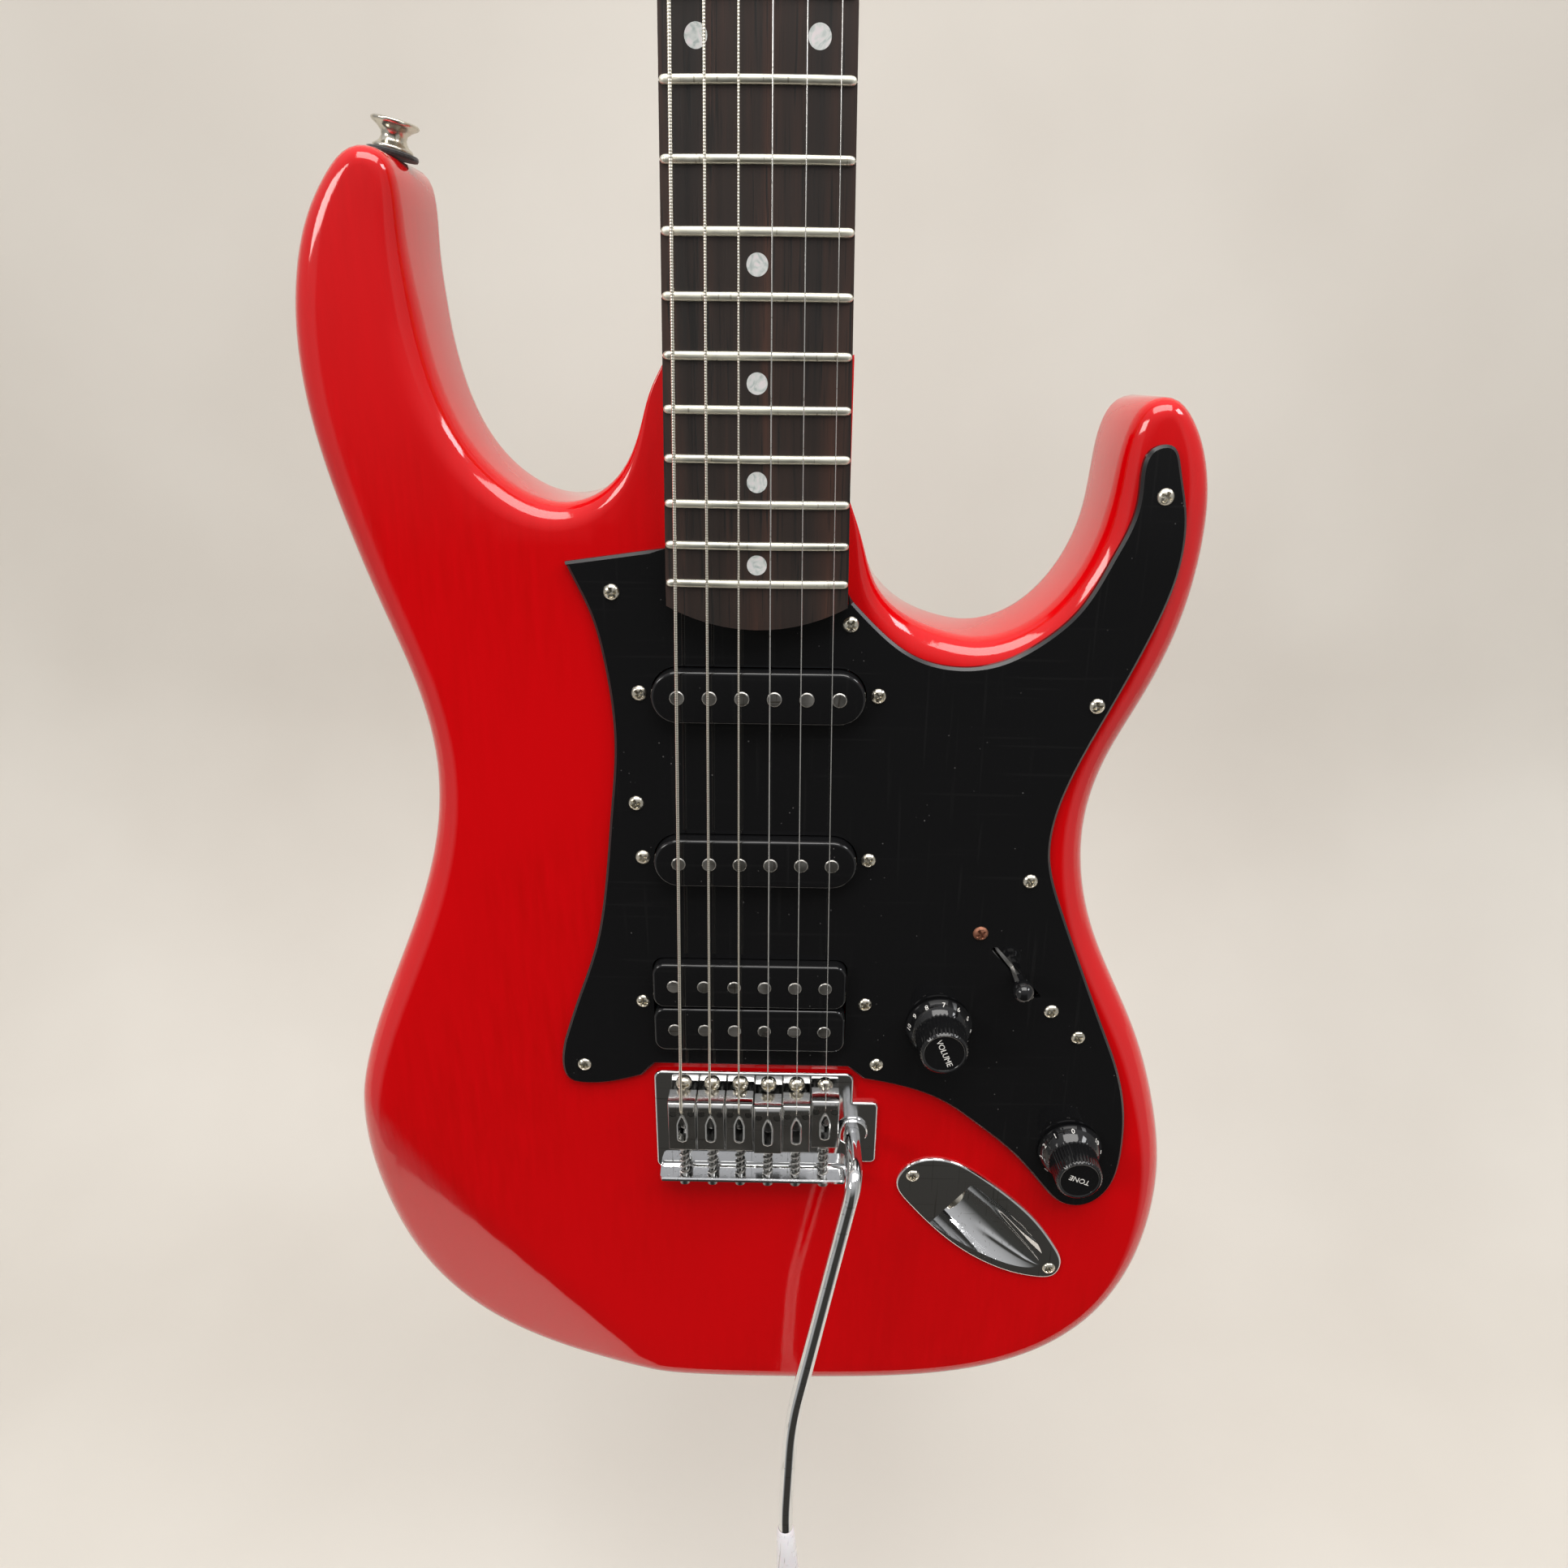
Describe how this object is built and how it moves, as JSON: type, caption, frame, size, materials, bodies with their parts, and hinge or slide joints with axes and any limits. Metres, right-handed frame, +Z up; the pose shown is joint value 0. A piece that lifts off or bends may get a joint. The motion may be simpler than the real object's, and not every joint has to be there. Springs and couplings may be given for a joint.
{
  "type": "electric guitar",
  "caption": "Solid-body electric guitar with two single coils and a twin-coil pickup, a rocking tremolo bridge with arm, bolt-on neck and in-line tuners.",
  "frame": {"origin": "seat of the tail strap button on the body's rim, on the centreline at mid thickness", "axes": "+Z up the neck, +X to the treble side, -Y out of the front face"},
  "size_m": [0.3164, 0.0938, 1.0491],
  "materials": {
    "red_gloss": "high gloss red lacquer over wood",
    "maple": "satin maple",
    "rosewood": "oiled dark rosewood",
    "nickel": "polished nickel silver",
    "chrome": "polished chrome plate",
    "black_gloss": "gloss black plastic",
    "black_matte": "satin black plastic",
    "white_plastic": "gloss white plastic",
    "pearl": "pearloid plastic",
    "bone": "bone-white nut material",
    "steel": "plain steel",
    "wound_wire": "nickel wound string",
    "felt": "black felt",
    "zinc": "cast zinc or steel block"
  },
  "bodies": {
    "root": {"back_cover": "black_gloss", "body": "red_gloss", "cover_screws": "nickel", "fingerboard": "rosewood", "frets": "nickel", "headstock_screws": "chrome", "height_tubes": "black_matte", "humbucker_baseplate": "nickel", "humbucker_bobbins": "black_gloss", "jack_plate": "chrome", "jack_socket": "nickel", "long_screws": "nickel", "machine_screws": "nickel", "neck": "maple", "neck_plate": "chrome", "nut": "bone", "pickguard": "black_gloss", "pickup_coils": "black_matte", "pickup_covers": "black_gloss", "pickup_poles": "nickel", "pivot_screws": "nickel", "position_dots": "pearl", "potentiometers": "steel", "selector_frame": "steel", "spring_claw": "steel", "strap_buttons": "nickel", "strap_washers": "felt", "string_trees": "chrome", "strings_plain": "steel", "strings_wound": "wound_wire", "trem_springs": "steel", "truss_rod": "steel", "tuner_bushings": "chrome", "tuner_housings": "chrome"},
    "bridge": {"trem_plate": "chrome", "trem_block": "zinc", "saddles": "chrome", "saddle_screws": "steel", "intonation_springs": "steel"},
    "arm": {"trem_arm": "chrome", "arm_tip": "white_plastic"},
    "volume": {"volume_shaft": "steel", "volume_knob": "black_gloss"},
    "tone": {"tone_shaft": "steel", "tone_knob": "black_gloss"},
    "selector": {"selector_lever": "steel", "selector_tip": "black_gloss"},
    "post_1": {"tuner_post_1": "chrome"},
    "key_1": {"tuner_key_1": "chrome"},
    "post_2": {"tuner_post_2": "chrome"},
    "key_2": {"tuner_key_2": "chrome"},
    "post_3": {"tuner_post_3": "chrome"},
    "key_3": {"tuner_key_3": "chrome"},
    "post_4": {"tuner_post_4": "chrome"},
    "key_4": {"tuner_key_4": "chrome"},
    "post_5": {"tuner_post_5": "chrome"},
    "key_5": {"tuner_key_5": "chrome"},
    "post_6": {"tuner_post_6": "chrome"},
    "key_6": {"tuner_key_6": "chrome"}
  },
  "joints": [
    {"name": "bridge_dive", "type": "hinge", "parent": "root", "child": "bridge", "pos_m": [0, -0.022, 0.1591], "axis": [-1, 0, 0], "range_deg": [0, 10], "stiffness_Nm_per_rad": 30, "springref_deg": -8.59, "deforming": ["strings_wound", "strings_plain", "trem_springs"]},
    {"name": "arm_swing", "type": "hinge", "parent": "bridge", "child": "arm", "pos_m": [0.0365, -0.022, 0.1385], "axis": [0, -1, 0], "range_deg": [-30, 110]},
    {"name": "volume_turn", "type": "hinge", "parent": "root", "child": "volume", "pos_m": [0.0664, -0.022, 0.1865], "axis": [0, -1, 0], "range_deg": [-150, 120]},
    {"name": "tone_turn", "type": "hinge", "parent": "root", "child": "tone", "pos_m": [0.1198, -0.022, 0.132], "axis": [0, -1, 0], "range_deg": [-270, 0]},
    {"name": "selector_click", "type": "hinge", "parent": "root", "child": "selector", "pos_m": [0.0929, -0.0045, 0.209], "axis": [0.749, 0, 0.6626], "range_deg": [-20, 20]},
    {"name": "key_1_turn", "type": "hinge", "parent": "root", "child": "key_1", "pos_m": [-0.02287, -0.003, 0.82622], "axis": [-0.9633, 0, 0.2685], "continuous": true},
    {"name": "post_1_turn", "type": "hinge", "parent": "root", "child": "post_1", "pos_m": [-0.02126, -0.008, 0.832], "axis": [0, -1, 0], "continuous": true},
    {"name": "key_2_turn", "type": "hinge", "parent": "root", "child": "key_2", "pos_m": [-0.01567, -0.003, 0.85162], "axis": [-0.9633, 0, 0.2685], "continuous": true},
    {"name": "post_2_turn", "type": "hinge", "parent": "root", "child": "post_2", "pos_m": [-0.01406, -0.008, 0.8574], "axis": [0, -1, 0], "continuous": true},
    {"name": "key_3_turn", "type": "hinge", "parent": "root", "child": "key_3", "pos_m": [-0.00848, -0.003, 0.87702], "axis": [-0.9633, 0, 0.2685], "continuous": true},
    {"name": "post_3_turn", "type": "hinge", "parent": "root", "child": "post_3", "pos_m": [-0.00687, -0.008, 0.8828], "axis": [0, -1, 0], "continuous": true},
    {"name": "key_4_turn", "type": "hinge", "parent": "root", "child": "key_4", "pos_m": [-0.00129, -0.003, 0.90242], "axis": [-0.9633, 0, 0.2685], "continuous": true},
    {"name": "post_4_turn", "type": "hinge", "parent": "root", "child": "post_4", "pos_m": [0.00032, -0.008, 0.9082], "axis": [0, -1, 0], "continuous": true},
    {"name": "key_5_turn", "type": "hinge", "parent": "root", "child": "key_5", "pos_m": [0.00584, -0.003, 0.92782], "axis": [-0.9633, 0, 0.2685], "continuous": true},
    {"name": "post_5_turn", "type": "hinge", "parent": "root", "child": "post_5", "pos_m": [0.00745, -0.008, 0.9336], "axis": [0, -1, 0], "continuous": true},
    {"name": "key_6_turn", "type": "hinge", "parent": "root", "child": "key_6", "pos_m": [0.01295, -0.003, 0.95322], "axis": [-0.9633, 0, 0.2685], "continuous": true},
    {"name": "post_6_turn", "type": "hinge", "parent": "root", "child": "post_6", "pos_m": [0.01456, -0.008, 0.959], "axis": [0, -1, 0], "continuous": true}
  ],
  "couplings": [
    {"joint": "post_1_turn", "follows": "key_1_turn", "ratio": 0.071429},
    {"joint": "post_2_turn", "follows": "key_2_turn", "ratio": 0.071429},
    {"joint": "post_3_turn", "follows": "key_3_turn", "ratio": 0.071429},
    {"joint": "post_4_turn", "follows": "key_4_turn", "ratio": 0.071429},
    {"joint": "post_5_turn", "follows": "key_5_turn", "ratio": 0.071429},
    {"joint": "post_6_turn", "follows": "key_6_turn", "ratio": 0.071429}
  ]
}
